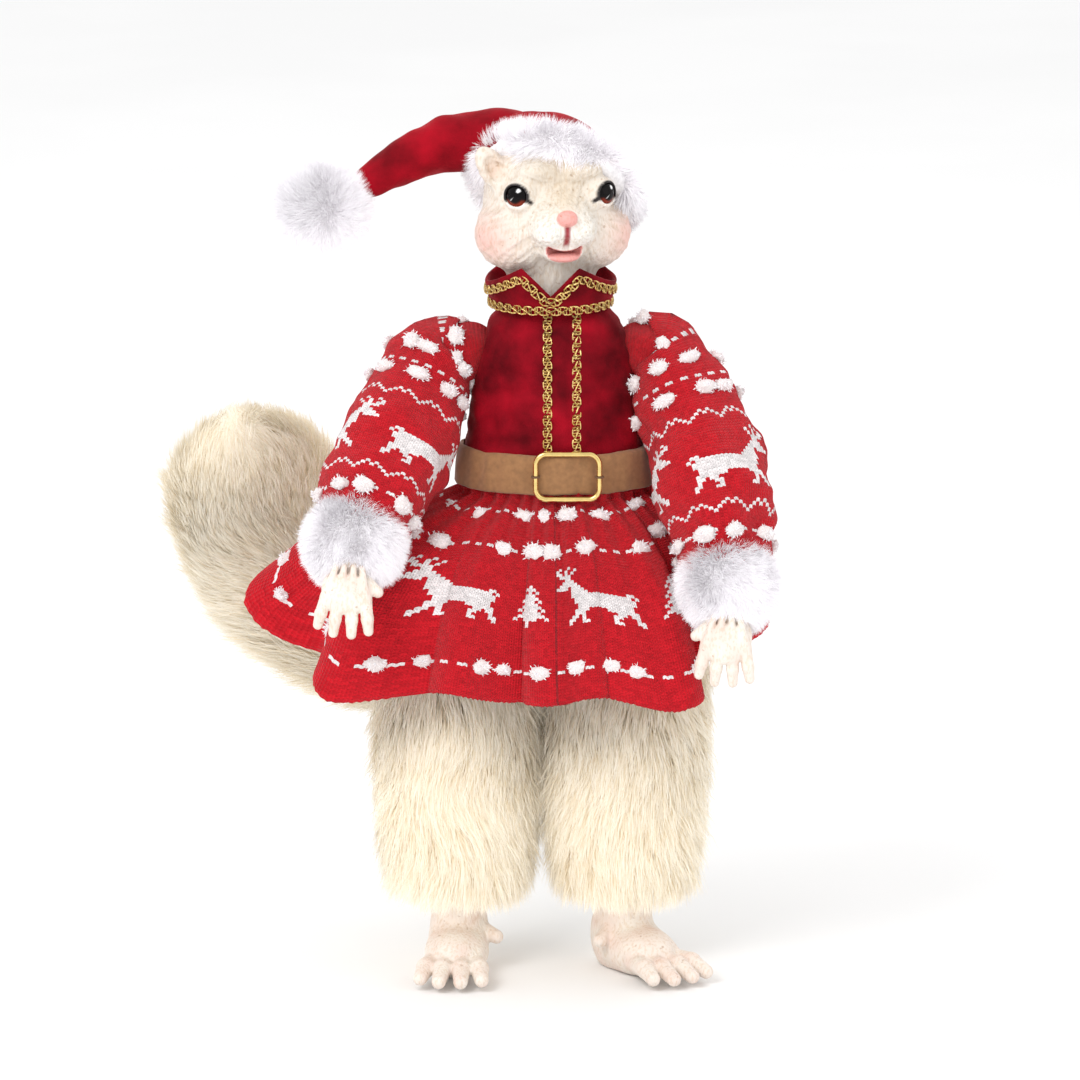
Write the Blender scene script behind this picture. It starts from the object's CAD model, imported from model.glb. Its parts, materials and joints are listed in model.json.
"""Looks of the dressed squirrel: painted resin, long and short pile, patterned knit, velvet, braid and suede.

Lengths are millimetres in the figure's own frame, whose origin is on the ground under the trunk.
to_row() takes points from there to the row frame, in metres.
"""

import json
import math

import bpy
import numpy as np
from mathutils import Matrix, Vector
from mathutils.kdtree import KDTree


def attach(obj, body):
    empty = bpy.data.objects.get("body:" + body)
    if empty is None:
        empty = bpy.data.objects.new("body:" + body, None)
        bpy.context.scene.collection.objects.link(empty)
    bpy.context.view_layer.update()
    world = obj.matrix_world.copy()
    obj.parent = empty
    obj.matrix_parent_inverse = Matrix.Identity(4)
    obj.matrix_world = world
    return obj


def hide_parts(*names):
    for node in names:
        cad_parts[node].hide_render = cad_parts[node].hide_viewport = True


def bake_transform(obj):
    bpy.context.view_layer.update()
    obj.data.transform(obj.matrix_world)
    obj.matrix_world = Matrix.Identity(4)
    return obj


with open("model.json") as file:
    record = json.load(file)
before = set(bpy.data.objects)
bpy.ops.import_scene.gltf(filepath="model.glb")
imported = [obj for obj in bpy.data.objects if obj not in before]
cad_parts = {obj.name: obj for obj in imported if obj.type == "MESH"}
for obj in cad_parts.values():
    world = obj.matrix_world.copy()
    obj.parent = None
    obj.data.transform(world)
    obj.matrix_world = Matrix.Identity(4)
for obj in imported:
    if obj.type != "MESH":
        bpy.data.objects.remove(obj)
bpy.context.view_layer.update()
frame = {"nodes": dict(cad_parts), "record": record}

MM = 0.001
TRUNK_AXIS = np.array([36.7, -14.9, 0.0])
SIDES = (("right", -1), ("left", 1))

# Trunk, collar and belt
TRUNK_BOTTOM_Z, TRUNK_TOP_Z = 156.0, 308.0
TRUNK_HALF_WIDTH, TRUNK_HALF_DEPTH = 44.0, 31.0
TRUNK_HEIGHT_SHARES = (0.0, 0.12, 0.30, 0.52, 0.70, 0.84, 0.94, 1.0)
TRUNK_WIDTH_SHARES = (0.16, 0.74, 1.0, 0.91, 0.80, 0.76, 0.61, 0.42)
TRUNK_DEPTH_SHARES = (0.40, 0.90, 0.97, 0.93, 0.93, 0.88, 0.73, 0.55)
VELVET_GROW = 2.05
BELT_GROW = 4.3
BELT_THICKNESS = 2.0
BELT_WIDTH = 18.0
BELT_PROFILE_SHARES = ((0, -0.5), (0.7, -0.48), (1, -0.42), (1.05, 0), (1, 0.42), (0.7, 0.48), (0, 0.5))
WAIST_Z = 233.0
NECK_X = -2.0
COLLAR_BOTTOM_Z, COLLAR_NOTCH_Z, COLLAR_SIDE_Z, COLLAR_POINT_Z = 304.5, 313.0, 315.5, 326.0
COLLAR_POINT_X = 13.0
COLLAR_BOTTOM_RADIUS, COLLAR_TOP_RADIUS = 24.5, 30.5
COLLAR_THICKNESS = 1.8
BRAID_WIDTH = 4.4
BRAID_PITCH = 5.2
BRAID_WIRE = 0.36
BRAID_LIFT = 0.7
FRONT_BRAID_XS = (-3.4, 9.4)
SEAM_X = 4.0

# Skirt
SKIRT_FLARE_Z, SKIRT_HEM_Z = 221.0, 134.0
SKIRT_RIGHT, SKIRT_LEFT, SKIRT_FRONT, SKIRT_BACK = 170.0, 116.0, 74.0, 46.0
HEM_LINE_Y = (-54.0, 0.0, 20.0)
HEM_LINE_Z = (139.0, 176.0, 192.0)
FLARE_DROP_SHARES = (0.0, 0.12, 0.30, 0.58, 1.0)
FLARE_SPREAD_SHARES = (0.0, 0.24, 0.50, 0.76, 1.0)
FOLD_TURN_SHARES = (-0.040, 0.055, 0.160, 0.262, 0.365, 0.455, 0.545, 0.635, 0.705, 0.795, 0.875)
FOLD_VALLEY_SHARES = (0.76, 0.93, 0.76, 0.92, 0.94, 0.94, 0.94, 0.90, 0.90, 0.80, 0.84)
FOLD_CREST_SHARES = (1.0, 1.08, 0.94, 1.04, 1.0, 1.02, 1.02, 0.98, 1.04, 0.96, 0.91)
SKIRT_STITCHES, SKIRT_ROWS = 244, 78
HEM_ROLL_RADIUS = 1.7
GATHERS = 34
GATHER_DEPTH = 1.7
GATHER_REACH_SHARE = 0.36
SWAYS = 13
SWAY_DEPTH = 3.2
HEM_WAVES = 7
HEM_WAVE_HEIGHT = 2.6
SKIRT_BOBBLES = ((0.10, 17, 0.3), (0.19, 18, 0.7), (0.35, 20, 0.2), (0.88, 29, 0.5))
SLEEVE_BOBBLES = ((0.20, 7, 0.5), (0.31, 8, 0.2), (0.42, 8, 0.6), (0.88, 8, 0.4))
BOBBLE_SIZE = (4.8, 3.2, 2.4)
BOBBLE_STRAY = 0.3
BOBBLE_TOP_Z = 217.5
BOBBLE_PILE = 1.9
BOBBLE_STRANDS = 150

# Head and hat, in the head's own frame unless named otherwise
HEAD_AT = np.array([NECK_X, 0.0, 348.0])
HEAD_YAW = math.radians(11.0)
EYE_RADIUS = 6.6
EYE_AT = np.array([17.8, -21.6, 10.5])
EYE_GAZE = np.array([0.60, -0.79, 0.06])
EYE_OPENING = (5.2, 4.7)
EYE_GLINTS = ((0.86, 0.40, -0.26, 0.17), (0.92, -0.24, 0.24, 0.08))
LASH_WING = ((5.2, -0.4), (6.6, -2.8))
LASH_HALF_WIDTH = 0.55
NOSE_AT, NOSE_SIZE = np.array([0.0, -39.0, 2.4]), np.array([4.5, 3.8, 3.6])
MOUTH_AT, MOUTH_SIZE = np.array([0.0, -34.5, -13.6]), np.array([8.6, 8.5, 4.9])
MOUTH_LIP_Z, MOUTH_LIP_RISE = -13.2, 0.032
FUR_LINE_SPREAD, FUR_LINE_DRIFT = 24.0, 0.12
FUR_LINE_DEPTH, FUR_LINE_STAIN = 0.22, 0.30
EAR_AT, EAR_LEAN = (-27.0, -7.0, 20.0), math.radians(35.0)
EAR_SIZE = (6.4, 3.8, 12.0)
EAR_HOLLOW_AT, EAR_HOLLOW_SIZE = (0.3, -4.4, -1.0), (4.4, 4.4, 9.0)
EYE_CLEAR, EAR_CLEAR = 14.0, 13.0
CHEEK_AT, CHEEK_SIZE = (15.5, -5, -9.5), (19.5, 21, 17)
SNOUT_AT, SNOUT_SIZE = (0, -21, -1), (15.5, 17, 13)
NECK_LOW, NECK_HIGH, NECK_RADIUS = (0, 0, -40), (0, 0, -10), 19.5
BROW_AT, BROW_SIZE = (10, -22, 21), (9, 6, 4)
LID_RADIUS, SOCKET_RADIUS = 7.6, 5.6
CHIN_AT, CHIN_SIZE = (0, -25.5, -14.5), (9.5, 10, 5)
LOBE_AT, LOBE_SIZE = (6, -31, -4.5), (8.3, 9.0, 7.0)
TONGUE_AT, TONGUE_SIZE = (0, -29.5, -16.4), (7.0, 6.6, 2.2)
SMILE_START, SMILE_END, SMILE_RADII = (7.5, -34.0, -11.6), (14.5, -28.5, -8.6), (1.2, 0.5)
HAT_BAND_AT = np.array([4.0, 7.0, 10.5])
HAT_BAND_TILT, HAT_BAND_ROLL = math.radians(-40.0), math.radians(20.0)
HAT_BAND_RADIUS, HAT_BAND_TUBE = 29.5, 11.5
SKULL_AT, SKULL_SIZE = np.array([0.0, 4.0, 8.0]), np.array([29.0, 31.0, 30.0])
HAT_VELVET = 3.0
HAT_HUMP_AT, HAT_HUMP_SIZE = np.array([-11.0, 16.0, 25.0]), np.array([23.0, 17.0, 14.5])
HAT_LINE = (
    (-2.0, 18.0, 364.0),
    (-16.0, 17.0, 373.0),
    (-38.5, 17.0, 376.0),
    (-64.0, 10.0, 370.0),
    (-90.0, 1.5, 356.0),
)
HAT_LINE_RADII = (12.0, 15.5, 13.4, 10.6, 5.8)
POMPOM_AT, POMPOM_RADIUS = np.array([-104.0, -3.0, 349.0]), 22.5

# Arms, cuffs and hands
SHOULDERS = {"right": (-53.0, 0.0, 281.0), "left": (50.0, 0.0, 281.0)}
ELBOWS = {"right": (-75.0, -20.0, 248.0), "left": (69.0, -19.5, 243.0)}
WRISTS = {"right": (-89.0, -55.0, 208.0), "left": (77.0, -54.0, 188.5)}
SLEEVE_HEAD = ((22.0, 0.0, 284.0), (33.0, 0.0, 285.0), (42.0, 0.0, 283.0))
SLEEVE_HEAD_RADII = (0.0, 11.0, 15.0)
SLEEVE_ALONG_SHARES = (0.0, 0.38, 0.66, 0.84, 1.0)
SLEEVE_BENDS = {"right": (-69.0, -20.0, 250.0), "left": (64.5, -19.5, 245.0)}
SLEEVE_RADII = (18.2, 25.0, 26.0, 22.0, 15.0)
SLEEVE_STITCHES, SLEEVE_ROWS = 78, 104
CUFF_RADIUS, CUFF_HALF_LENGTH = 24.5, 22.5
WRIST_RADIUS, WRIST_REACH = 6.2, 11.0
PALM_LENGTH, PALM_HALF_WIDTH, PALM_HALF_THICKNESS = 25.0, 11.5, 5.6
FINGER_LENGTH = 15.0
FINGER_ROOT_RADIUS, KNUCKLE_RADIUS, FINGER_TIP_RADIUS = 2.9, 2.7, 2.2
FINGER_ACROSS_SHARES = (-0.76, -0.27, 0.25, 0.75)
FINGER_REACH_SHARES = (0.82, 1.0, 1.0, 0.88)
FINGER_FANS = (-14.0, -5.0, 4.0, 13.0)
FINGER_CURL = math.radians(24.0)

# Legs, feet and tail
HIP_XS = {"right": -43.5, "left": 31.5}
HIP_Z, KNEE_Z, LEG_HEM_Z = 163.0, 104.0, 36.0
LEG_TOP_RADIUS, LEG_KNEE_RADIUS, LEG_HEM_RADIUS = 32.5, 34.8, 27.0
LEG_PILE, LEG_FUR_LENGTH, LEG_STRANDS = 6.0, 25.0, 39500
FOOT_TURNS = {"right": math.radians(-4.0), "left": math.radians(32.0)}
TAIL_ROOT, TAIL_BEND, TAIL_END = (-6.0, 39.0, 168.0), (-72.0, 82.0, 136.0), (-137.0, 80.0, 201.0)
TAIL_HALF_WIDTH, TAIL_HALF_DEPTH, TAIL_CAP = 38.0, 27.0, 37.0
TAIL_ALONG_SHARES = (0.0, 0.14, 0.34, 0.58, 0.80, 1.0)
TAIL_WIDTH_SHARES = (0.43, 0.50, 0.70, 0.92, 1.02, 1.0)
TAIL_DEPTH_SHARES = (0.61, 0.66, 0.84, 1.0, 1.0, 0.96)
TAIL_PILE, TAIL_STRANDS = 8.0, 38000
TAIL_FUR_LENGTHS = (29.5, 25.0)
TOES = ((-0.78, 0.86, -10.0), (-0.27, 1.0, -4.0), (0.25, 1.0, 3.0), (0.76, 0.90, 10.0))
HEEL_AT, HEEL_SIZE = (0, 3, 14), (12.8, 16, 20)
INSTEP_AT, INSTEP_SIZE = (0, -13, 9.5), (14.5, 21, 11.5)
TOE_SPREAD, TOE_LENGTH, TOE_TIP_LENGTH = 12.8, 15.0, 11.0

# Paint of the head and paws
CREAM_PAINT, TAN_PAINT, SNOUT_PAINT = (0.80, 0.74, 0.66), (0.62, 0.51, 0.38), (0.72, 0.56, 0.37)
BLUSH_PAINT, MUZZLE_PAINT, CHIN_PAINT = (0.86, 0.38, 0.33), (0.93, 0.91, 0.87), (0.93, 0.90, 0.86)
TONGUE_PAINT, MOUTH_PAINT, GROOVE_PAINT = (0.84, 0.38, 0.35), (0.42, 0.06, 0.06), (0.34, 0.03, 0.04)
NOSE_PAINT, LID_PAINT, LASH_PAINT = (0.84, 0.40, 0.36), (0.93, 0.88, 0.82), (0.015, 0.010, 0.010)
EAR_PAINT, STAIN_PAINT = (0.80, 0.58, 0.46), (0.52, 0.42, 0.31)
PUPIL_PAINT, IRIS_PAINT, GLINT_PAINT = (0.004, 0.003, 0.003), (0.22, 0.030, 0.014), (1.0, 1.0, 1.0)
PAW_PAINT, PAW_PINK_PAINT = (0.88, 0.81, 0.73), (0.84, 0.66, 0.58)

# Knit charts: a hash is a white stitch
REINDEER = (
    ".#..#...................",
    "#..#..#.................",
    "##.#.#..................",
    ".####...................",
    "...##...................",
    "..####..................",
    ".######.................",
    "####.###................",
    ".....####...............",
    ".....#####..........##..",
    ".....################.#.",
    "......################..",
    "......################..",
    ".......##############...",
    ".......##############...",
    "......####.....#######..",
    "......###........##.##..",
    ".....##.#.......##...#..",
    "....##..#.......#....##.",
    "....#...##......##....#.",
)
TREE = (
    ".....#.....",
    "....###....",
    "...#.#.#...",
    "....###....",
    "...#####...",
    "..#.###.#..",
    "...#####...",
    "..#######..",
    ".#.#####.#.",
    "..#######..",
    ".#########.",
    "#..#####..#",
    ".....#.....",
    ".....#.....",
)
ZIGZAG = ("#.....#.", ".#...#.#", "..#.#...", "...#....")
DASHES = ("##..",)

# Bands of a knit: first row, pattern tiles, gap between tiles
SKIRT_BANDS = ((13, [DASHES], 0), (27, [DASHES], 0), (33, [REINDEER, TREE], 3), (68, [DASHES], 0))
SLEEVE_BANDS = (
    (24, [DASHES], 0),
    (38, [DASHES], 0),
    (50, [ZIGZAG], 0),
    (57, [REINDEER], 2),
    (81, [ZIGZAG], 0),
    (90, [DASHES], 0),
)


def unit(vectors):
    vectors = np.asarray(vectors, float)
    return vectors / np.maximum(np.linalg.norm(vectors, axis=-1, keepdims=True), 1e-9)


def to_row(points):
    return (np.asarray(points, float) + TRUNK_AXIS) * MM


def turned(points, angle, axis):
    """Points turned about a coordinate axis through the origin."""
    first, second = (axis + 1) % 3, (axis + 2) % 3
    out = np.array(points, float)
    out[..., first] = points[..., first] * math.cos(angle) - points[..., second] * math.sin(angle)
    out[..., second] = points[..., first] * math.sin(angle) + points[..., second] * math.cos(angle)
    return out


def from_head(points):
    """Points from the head's own frame to the figure's frame."""
    return turned(np.asarray(points, float), HEAD_YAW, 2) + HEAD_AT


def waves(points, size, seed, count=7):
    """A smooth random field of about unit height, with bumps of the given size."""
    draw = np.random.default_rng(seed)
    ways = unit(draw.normal(size=(count, 3))) * draw.uniform(0.7, 1.4, (count, 1)) * 2 * math.pi / size
    shifts = draw.uniform(0, 2 * math.pi, count)
    return np.sin(np.asarray(points) @ ways.T + shifts).sum(axis=-1) / math.sqrt(count)


def mesh_object(name, points, faces, material, body, replaces=(),
                colours=None, per_face=False, uvs=None):
    """A mesh piece from points in the figure's frame and one or two arrays of faces, riding on a body."""
    groups = faces if isinstance(faces, list) else [faces]
    loops = np.concatenate([group.ravel() for group in groups]).astype(np.int32)
    sizes = np.concatenate([np.full(len(group), group.shape[1]) for group in groups])
    mesh = bpy.data.meshes.new(name)
    mesh.vertices.add(len(points))
    mesh.vertices.foreach_set("co", to_row(points).astype(np.float32).ravel())
    mesh.loops.add(len(loops))
    mesh.loops.foreach_set("vertex_index", loops)
    mesh.polygons.add(len(sizes))
    mesh.polygons.foreach_set("loop_start", np.concatenate([[0], np.cumsum(sizes)[:-1]]).astype(np.int32))
    mesh.update(calc_edges=True)
    mesh.polygons.foreach_set("use_smooth", np.ones(len(sizes), bool))
    if colours is not None:
        layer = mesh.color_attributes.new("Colour", "FLOAT_COLOR", "CORNER" if per_face else "POINT")
        values = np.repeat(colours, sizes, axis=0) if per_face else np.asarray(colours)
        opaque = np.column_stack([values, np.ones(len(values))])
        layer.data.foreach_set("color", opaque.astype(np.float32).ravel())
    for layer_name, values in (uvs or {}).items():
        layer = mesh.uv_layers.new(name=layer_name)
        layer.data.foreach_set("uv", np.asarray(values, np.float32)[loops].ravel())
    mesh.materials.append(material)
    obj = bpy.data.objects.new(name, mesh)
    bpy.context.scene.collection.objects.link(obj)
    if body:
        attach(obj, body)
    if replaces:
        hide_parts(*replaces)
    return obj


def grid_faces(rows, columns, wrap=True):
    """Quads of a grid of points; wrap joins the last column to the first."""
    spans = columns if wrap else columns - 1
    row, column = np.meshgrid(np.arange(rows - 1), np.arange(spans), indexing="ij")
    after = (column + 1) % columns
    this, below = row * columns, (row + 1) * columns
    corners = (this + column, this + after, below + after, below + column)
    return np.stack(corners, axis=-1).reshape(-1, 4)


def grid_normals(grid, wrap=True):
    """Outward normals of a grid of points whose columns run round it and whose rows run along it."""
    along = np.gradient(grid, axis=0)
    if wrap:
        around = np.roll(grid, -1, axis=1) - np.roll(grid, 1, axis=1)
    else:
        around = np.gradient(grid, axis=1)
    return unit(np.cross(around, along))


def sample_grid(grid, count, draw, wrap=True):
    """Random points on a grid surface, evenly by area: positions, normals and directions along it."""
    normals = grid_normals(grid, wrap)
    faces = grid_faces(grid.shape[0], grid.shape[1], wrap)
    flat, flat_normals = grid.reshape(-1, 3), normals.reshape(-1, 3)
    corner = flat[faces]
    area = np.linalg.norm(np.cross(corner[:, 2] - corner[:, 0], corner[:, 3] - corner[:, 1]), axis=1)
    chosen = faces[draw.choice(len(faces), count, p=area / area.sum())]
    across, down = draw.random((2, count, 1))
    weights = ((1 - across) * (1 - down), across * (1 - down), across * down, (1 - across) * down)
    points = sum(weight * flat[chosen[:, i]] for i, weight in enumerate(weights))
    directions = sum(weight * flat_normals[chosen[:, i]] for i, weight in enumerate(weights))
    along = unit(flat[chosen[:, 3]] + flat[chosen[:, 2]] - flat[chosen[:, 0]] - flat[chosen[:, 1]])
    return points, unit(directions), along


def arc_through(start, middle, end, shares):
    """Points and directions on the circle through three points, at shares of its length."""
    a, b, c = (np.asarray(p, float) for p in (start, middle, end))
    ab, ac = b - a, c - a
    normal = np.cross(ab, ac)
    centre = a + (np.cross(normal, ab) * (ac @ ac) + np.cross(ac, normal) * (ab @ ab)) / (2 * normal @ normal)
    first = a - centre
    second = np.cross(unit(normal), first)
    sweep = math.atan2((c - centre) @ second, (c - centre) @ first) % (2 * math.pi)
    angles = np.asarray(shares, float)[:, None] * sweep
    points = centre + first * np.cos(angles) + second * np.sin(angles)
    return points, unit(-first * np.sin(angles) + second * np.cos(angles))


def smooth_line(points, count):
    """Evenly spaced points and directions on a smooth curve through the given ones."""
    knots = np.asarray(points, float)
    ends = np.vstack([2 * knots[0] - knots[1], knots, 2 * knots[-1] - knots[-2]])
    spans = np.linspace(0, len(knots) - 1, 40 * len(knots))
    index = np.minimum(spans.astype(int), len(knots) - 2)
    t = (spans - index)[:, None]
    p0, p1, p2, p3 = (ends[index + i] for i in range(4))
    bend, twist = 2 * p0 - 5 * p1 + 4 * p2 - p3, 3 * p1 - p0 - 3 * p2 + p3
    dense = 0.5 * (2 * p1 + (p2 - p0) * t + bend * t**2 + twist * t**3)
    length = np.concatenate([[0], np.cumsum(np.linalg.norm(np.diff(dense, axis=0), axis=1))])
    at = np.linspace(0, length[-1], count)
    line = np.column_stack([np.interp(at, length, dense[:, i]) for i in range(dense.shape[1])])
    return line, unit(np.gradient(line[:, :3], axis=0))


def rings(centres, directions, first_radii, second_radii, sides, side_way=(0.0, 1.0, 0.0)):
    """A grid of oval rings square to a line; the second radius lies nearest to side_way."""
    second = unit(np.asarray(side_way) - directions * (directions @ np.asarray(side_way))[:, None])
    first = np.cross(second, directions)
    turns = np.linspace(0, 2 * math.pi, sides, endpoint=False)
    round_part = first[:, None] * np.cos(turns)[None, :, None] * np.asarray(first_radii)[:, None, None]
    deep_part = second[:, None] * np.sin(turns)[None, :, None] * np.asarray(second_radii)[:, None, None]
    return centres[:, None] + round_part + deep_part


def tube(points, radius, sides=6, closed=False):
    """Points and faces of a thin round tube along a line."""
    line = np.asarray(points, float)
    if closed:
        ahead = unit(np.roll(line, -1, axis=0) - np.roll(line, 1, axis=0))
    else:
        ahead = unit(np.gradient(line, axis=0))
    side = unit(np.cross(ahead, np.where(np.abs(ahead[:, 2:]) < 0.9, [[0, 0, 1.0]], [[1.0, 0, 0]])))
    up = np.cross(side, ahead)
    turns = np.linspace(0, 2 * math.pi, sides, endpoint=False)
    ring = side[:, None] * np.cos(turns)[None, :, None] + up[:, None] * np.sin(turns)[None, :, None]
    grid = line[:, None] + radius * ring
    if closed:
        grid = np.vstack([grid, grid[:1]])
    return grid.reshape(-1, 3), grid_faces(len(grid), sides)


def joined(parts):
    """One list of points and faces from several."""
    points, faces, start = [], [], 0
    for part_points, part_faces in parts:
        points.append(part_points)
        faces.append(part_faces + start)
        start += len(part_points)
    return np.vstack(points), np.vstack(faces)


def new_material(name, colour, roughness, **sockets):
    """A material whose constant values are on its shader's own sockets, named with _ for a space."""
    material = bpy.data.materials.new(name)
    material.use_nodes = True
    shader = material.node_tree.nodes["Principled BSDF"]
    shader.inputs["Base Color"].default_value = (*colour, 1)
    shader.inputs["Roughness"].default_value = roughness
    for socket, value in sockets.items():
        key = socket.replace("_", " ")
        shader.inputs[key].default_value = (*value, 1) if isinstance(value, tuple) else value
    return material


def shader_of(material):
    return material.node_tree.nodes["Principled BSDF"]


def add_node(material, kind, **values):
    node = material.node_tree.nodes.new(kind)
    for key, value in values.items():
        if key in node.inputs:
            node.inputs[key].default_value = value
        else:
            setattr(node, key, value)
    return node


def link(material, source, target):
    material.node_tree.links.new(source, target)


def noise(material, scale, detail=3.0, stretch=(1, 1, 1)):
    """A noise in object space, with a scale in bumps per metre, and its factor's socket."""
    place = add_node(material, "ShaderNodeTexCoord")
    mapping = add_node(material, "ShaderNodeMapping")
    mapping.inputs["Scale"].default_value = stretch
    texture = add_node(material, "ShaderNodeTexNoise", Scale=scale, Detail=detail)
    link(material, place.outputs["Object"], mapping.inputs["Vector"])
    link(material, mapping.outputs["Vector"], texture.inputs["Vector"])
    return texture.outputs["Fac"]


def ramp(material, factor, stops):
    """Colours along a factor: stops are (position, colour)."""
    node = add_node(material, "ShaderNodeValToRGB")
    elements = node.color_ramp.elements
    while len(elements) < len(stops):
        elements.new(0.5)
    for element, (position, colour) in zip(elements, stops):
        element.position = position
        element.color = (*colour, 1)
    link(material, factor, node.inputs["Fac"])
    return node.outputs["Color"]


def mixed(material, mode, factor, first, second):
    node = add_node(material, "ShaderNodeMix", data_type="RGBA", blend_type=mode)
    if isinstance(factor, float):
        node.inputs["Factor"].default_value = factor
    else:
        link(material, factor, node.inputs["Factor"])
    link(material, first, node.inputs[6])
    link(material, second, node.inputs[7])
    return node.outputs[2]


def paint(material, colour):
    link(material, colour, shader_of(material).inputs["Base Color"])


def relief(material, height, strength, distance_mm):
    bump = add_node(material, "ShaderNodeBump", Strength=strength, Distance=distance_mm * MM)
    link(material, height, bump.inputs["Height"])
    link(material, bump.outputs["Normal"], shader_of(material).inputs["Normal"])


def velvet(name, deep, bright):
    """Crushed pile: soft lighter and darker patches and a fine nap."""
    material = new_material(name, deep, 0.8, Sheen_Weight=0.22, Sheen_Roughness=0.35,
                            Sheen_Tint=(0.9, 0.25, 0.25), Specular_IOR_Level=0.1)
    paint(material, ramp(material, noise(material, 55.0, 4.0), [(0.32, deep), (0.72, bright)]))
    relief(material, noise(material, 1400.0, 2.0), 0.5, 0.35)
    return material


def pile(name, root, middle, tip, tint):
    """Strand colour by place along the strand, varied from strand to strand."""
    material = new_material(name, middle, 0.62, Specular_IOR_Level=0.25, Sheen_Weight=0.15)
    strand = add_node(material, "ShaderNodeUVMap", uv_map="Strand")
    split = add_node(material, "ShaderNodeSeparateXYZ")
    link(material, strand.outputs["UV"], split.inputs["Vector"])
    along = ramp(material, split.outputs["Y"], [(0.0, root), (0.45, middle), (1.0, tip)])
    tone = ramp(material, split.outputs["X"], [(0.0, tint), (0.35, (1, 1, 1))])
    colour = mixed(material, "MULTIPLY", 1.0, along, tone)
    paint(material, colour)
    return material


def backing(name, colour):
    """The woven ground that a pile stands on."""
    material = new_material(name, colour, 0.9)
    darker = tuple(0.82 * value for value in colour)
    paint(material, ramp(material, noise(material, 600.0), [(0.35, darker), (0.65, colour)]))
    return material


def painted(name, speckle_colour, speckle_scale, groove_stretch):
    """Painted resin: the colour laid on by place, a thin stain in fine carved lines, and small specks."""
    material = new_material(name, (0.9, 0.85, 0.78), 0.48, Specular_IOR_Level=0.4)
    coat = add_node(material, "ShaderNodeVertexColor", layer_name="Colour")
    lines = noise(material, 900.0, 2.0, groove_stretch)
    stain = ramp(material, lines, [(0.36, (0.80, 0.68, 0.54)), (0.50, (1, 1, 1))])
    stained = mixed(material, "MULTIPLY", 0.45, coat.outputs["Color"], stain)
    specks = ramp(material, noise(material, speckle_scale, 1.0), [(0.70, (1, 1, 1)), (0.76, speckle_colour)])
    paint(material, mixed(material, "MULTIPLY", 0.55, stained, specks))
    relief(material, lines, 0.7, 0.8)
    return material


def yarn(name):
    """Knit yarn: the chart's colour, rounded stitch legs and loose fibres."""
    material = new_material(name, (0.6, 0.03, 0.03), 0.85, Sheen_Weight=0.08, Sheen_Roughness=0.5,
                            Specular_IOR_Level=0.12)
    chart = add_node(material, "ShaderNodeVertexColor", layer_name="Colour")
    fibres = ramp(material, noise(material, 1500.0, 2.0), [(0.3, (0.84,) * 3), (0.62, (1.0,) * 3)])
    fibred = mixed(material, "MULTIPLY", 1.0, chart.outputs["Color"], fibres)
    place = add_node(material, "ShaderNodeUVMap", uv_map="Stitch")
    split = add_node(material, "ShaderNodeSeparateXYZ")
    link(material, place.outputs["UV"], split.inputs["Vector"])
    height = add_node(material, "ShaderNodeMath", operation="ADD")
    for socket, axis in zip(height.inputs, "XY"):
        swing = add_node(material, "ShaderNodeMath", operation="PINGPONG")
        swing.inputs[1].default_value = 0.5
        link(material, split.outputs[axis], swing.inputs[0])
        link(material, swing.outputs[0], socket)
    gaps = ramp(material, height.outputs[0], [(0.05, (0.80,) * 3), (0.45, (1.0,) * 3)])
    paint(material, mixed(material, "MULTIPLY", 1.0, fibred, gaps))
    relief(material, height.outputs[0], 1.0, 0.8)
    return material


def metal_thread(name):
    """Gold thread in darker and lighter wraps."""
    material = new_material(name, (0.83, 0.60, 0.20), 0.32, Metallic=0.9)
    wraps = noise(material, 900.0, 2.0)
    paint(material, ramp(material, wraps, [(0.35, (0.55, 0.34, 0.08)), (0.65, (0.95, 0.74, 0.32))]))
    relief(material, noise(material, 3500.0, 1.0), 0.4, 0.15)
    return material


def plain(name, colour, roughness, scale, **sockets):
    """A single colour with a little grain."""
    material = new_material(name, colour, roughness, **sockets)
    darker = tuple(0.75 * value for value in colour)
    paint(material, ramp(material, noise(material, scale), [(0.3, darker), (0.7, colour)]))
    relief(material, noise(material, scale * 2), 0.25, 0.2)
    return material


def eye_material():
    """Dark glass with its colours laid on by place."""
    material = new_material("eye", (0.01, 0.006, 0.006), 0.12, Specular_IOR_Level=0.12)
    coat = add_node(material, "ShaderNodeVertexColor", layer_name="Colour")
    mottle = ramp(material, noise(material, 900.0), [(0.3, (0.8,) * 3), (0.7, (1.1,) * 3)])
    paint(material, mixed(material, "MULTIPLY", 1.0, coat.outputs["Color"], mottle))
    return material


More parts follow.
